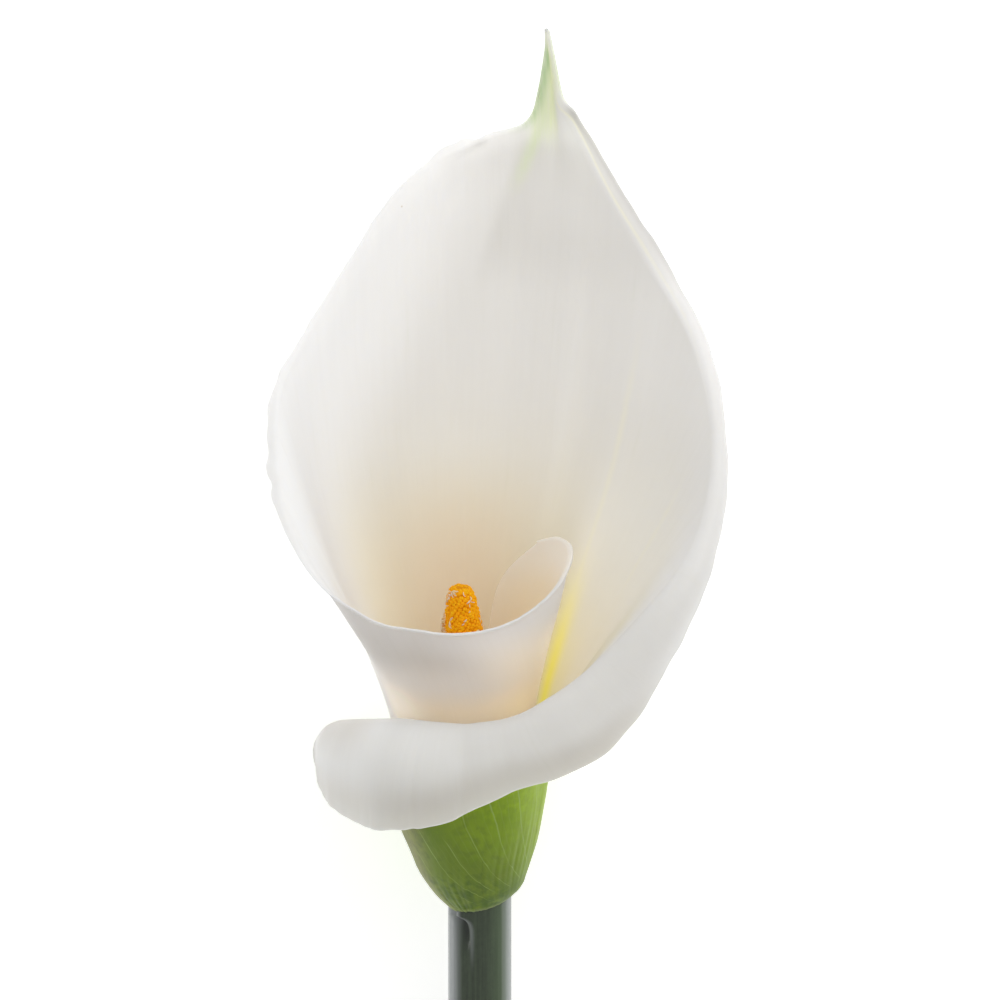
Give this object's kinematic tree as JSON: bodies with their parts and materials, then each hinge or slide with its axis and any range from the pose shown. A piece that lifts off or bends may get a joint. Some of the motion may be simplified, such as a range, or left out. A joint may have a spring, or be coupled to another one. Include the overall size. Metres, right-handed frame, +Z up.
{
  "type": "calla lily flower",
  "caption": "Cut calla lily flower lying on its back: a creamy funnel-shaped spathe rolled round an orange spadix, on a length of thick green stem.",
  "frame": {"origin": "middle of the flat spot on the back of the spathe, where the flower lies on a surface", "axes": "+Z up, away from the surface; +Y along the flower towards the tip of the spathe; the cut stem points to -Y; +X to the right, seen from above with the tip at the top"},
  "size_m": [0.0922, 0.2964, 0.0634],
  "materials": {
    "stem": "dark green fleshy stalk, smooth waxy skin",
    "spathe": "creamy white satin bract, green at its base and tip",
    "spadix_florets": "orange-yellow beady florets with pollen",
    "spadix_ovaries": "pale green rounded ovaries"
  },
  "bodies": {
    "root": {"stem": "stem", "spathe": "spathe", "spadix_male_zone": "spadix_florets", "spadix_female_zone": "spadix_ovaries"}
  },
  "joints": []
}
